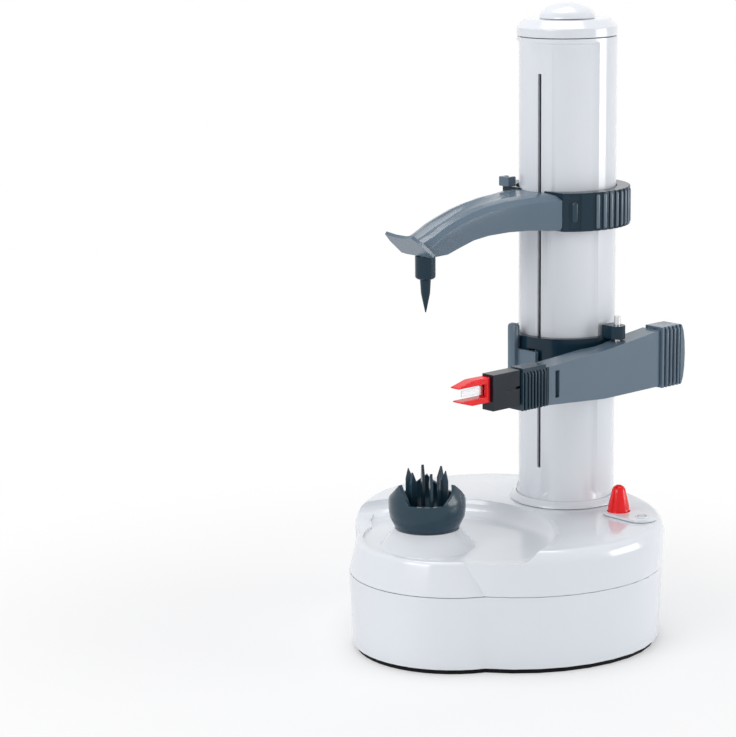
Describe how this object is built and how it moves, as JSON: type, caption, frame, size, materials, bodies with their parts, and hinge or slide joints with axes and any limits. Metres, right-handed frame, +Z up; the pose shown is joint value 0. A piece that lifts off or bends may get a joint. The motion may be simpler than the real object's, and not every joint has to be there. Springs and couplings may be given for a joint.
{
  "type": "electric rotary peeler",
  "caption": "Table-top electric rotary peeler: round-lobed white base with pronged cup, column, spiked upper arm and a sprung blade lever that rides down the column.",
  "frame": {"origin": "on the resting surface, under the axis that the food turns on", "axes": "+Z up along the food's axis, +X from the food's axis to the column, so the lever and the button are on the -Y side"},
  "size_m": [0.163, 0.1504, 0.2931],
  "materials": {
    "white_gloss": "gloss, lightly cool white",
    "inner_white": "satin moulding",
    "slate_gloss": "gloss blue-grey",
    "dark_slate": "gloss dark blue-grey",
    "black_plastic": "satin",
    "red_gloss": "gloss",
    "black_rubber": "matt",
    "steel": "satin",
    "gear_nylon": "satin nylon",
    "cell_wrap": "satin wrap",
    "board_green": "solder mask",
    "lens_clear": "gloss"
  },
  "bodies": {
    "base": {"base_lower_shell": "white_gloss", "base_upper_shell": "white_gloss", "bottom_pad": "black_rubber", "battery_door": "black_plastic", "battery_door_screw": "steel", "battery_tray": "inner_white", "battery_cell_1": "cell_wrap", "battery_cell_2": "cell_wrap", "battery_cell_3": "cell_wrap", "battery_cell_4": "cell_wrap", "battery_contacts": "steel", "gear_frame_lower": "steel", "gear_frame_upper": "steel", "frame_screw_far": "steel", "frame_screw_near": "steel", "motor_can": "steel", "transfer_axle": "steel", "reduction_axle_1": "steel", "reduction_axle_2": "steel", "turntable_bush": "gear_nylon", "screw_top_bearing": "inner_white", "column_tube": "white_gloss", "column_foot_ring": "white_gloss", "column_cap": "white_gloss", "cap_dome": "white_gloss", "switch_plate": "white_gloss", "indicator_lens": "lens_clear", "circuit_board": "board_green", "switch_body": "black_plastic", "button_spring": "steel", "dc_inlet": "black_plastic"},
    "turntable": {"fruit_cup": "dark_slate", "prong_insert": "dark_slate", "turntable_gear": "gear_nylon", "turntable_spindle": "steel"},
    "transfer": {"transfer_gear": "gear_nylon"},
    "reduction_2": {"reduction_gear_2": "gear_nylon"},
    "reduction_1": {"reduction_gear_1": "gear_nylon"},
    "motor_rotor": {"motor_pinion": "steel"},
    "screw": {"lead_screw": "steel", "screw_gear": "gear_nylon"},
    "peel_carriage": {"peel_collar": "slate_gloss", "lever_pivot_pin": "steel", "lever_spring": "steel"},
    "half_nut_release": {"peel_release_tab": "slate_gloss", "half_nut": "gear_nylon"},
    "lever": {"peel_lever": "slate_gloss", "lever_grip": "slate_gloss", "blade_holder": "black_plastic", "blade_guard": "red_gloss", "peel_blade": "steel"},
    "latch": {"blade_latch": "dark_slate"},
    "upper_carriage": {"upper_arm": "slate_gloss", "upper_band": "slate_gloss", "band_screw_far": "steel", "band_screw_near": "steel", "spike_housing": "slate_gloss"},
    "spike": {"top_spike": "slate_gloss"},
    "arm_release": {"upper_release_tab": "slate_gloss"},
    "power_button": {"red_button": "red_gloss"}
  },
  "joints": [
    {"name": "turntable_spin", "type": "hinge", "parent": "base", "child": "turntable", "pos_m": [0, 0, 0.06], "axis": [0, 0, 1], "continuous": true},
    {"name": "transfer_spin", "type": "hinge", "parent": "base", "child": "transfer", "pos_m": [0.0401, 0, 0.0385], "axis": [0, 0, 1], "continuous": true},
    {"name": "reduction_2_spin", "type": "hinge", "parent": "base", "child": "reduction_2", "pos_m": [0.04868, 0.02359, 0.035], "axis": [0, 0, 1], "continuous": true},
    {"name": "reduction_1_spin", "type": "hinge", "parent": "base", "child": "reduction_1", "pos_m": [0.07006, 0.02735, 0.027], "axis": [0, 0, 1], "continuous": true},
    {"name": "motor_spin", "type": "hinge", "parent": "base", "child": "motor_rotor", "pos_m": [0.0791, 0.04303, 0.025], "axis": [0, 0, 1], "continuous": true},
    {"name": "screw_spin", "type": "hinge", "parent": "base", "child": "screw", "pos_m": [0.0802, 0, 0.16], "axis": [0, 0, 1], "continuous": true},
    {"name": "peel_carriage_slide", "type": "slide", "parent": "base", "child": "peel_carriage", "axis": [0, 0, 1], "range_m": [-0.036, 0.02]},
    {"name": "half_nut_slide", "type": "slide", "parent": "peel_carriage", "child": "half_nut_release", "axis": [-1, 0, 0], "range_m": [0, 0.0016], "stiffness_N_per_m": 500, "springref_m": -0.002},
    {"name": "lever_swing", "type": "hinge", "parent": "peel_carriage", "child": "lever", "pos_m": [0.0921, -0.0315, 0.126], "axis": [0, 0, 1], "range_deg": [-13, 9], "stiffness_Nm_per_rad": 0.06},
    {"name": "latch_slide", "type": "slide", "parent": "lever", "child": "latch", "axis": [1, 0, 0], "range_m": [0, 0.0016], "stiffness_N_per_m": 300, "springref_m": -0.002},
    {"name": "upper_arm_slide", "type": "slide", "parent": "base", "child": "upper_carriage", "axis": [0, 0, 1], "range_m": [-0.02, 0.058]},
    {"name": "top_spike_spin", "type": "hinge", "parent": "upper_carriage", "child": "spike", "pos_m": [0, 0, 0.165], "axis": [0, 0, 1], "continuous": true},
    {"name": "arm_release_slide", "type": "slide", "parent": "upper_carriage", "child": "arm_release", "axis": [1, 0, 0], "range_m": [0, 0.0012], "stiffness_N_per_m": 400, "springref_m": -0.002},
    {"name": "power_button_press", "type": "slide", "parent": "base", "child": "power_button", "axis": [0, 0, -1], "range_m": [0, 0.0024], "stiffness_N_per_m": 400, "springref_m": -0.002, "deforming": ["button_spring"]}
  ],
  "couplings": [
    {"joint": "transfer_spin", "follows": "turntable_spin", "ratio": -1.2222},
    {"joint": "screw_spin", "follows": "turntable_spin", "ratio": 1},
    {"joint": "reduction_2_spin", "follows": "turntable_spin", "ratio": 3.1429},
    {"joint": "reduction_1_spin", "follows": "turntable_spin", "ratio": -11},
    {"joint": "motor_spin", "follows": "turntable_spin", "ratio": 55}
  ]
}
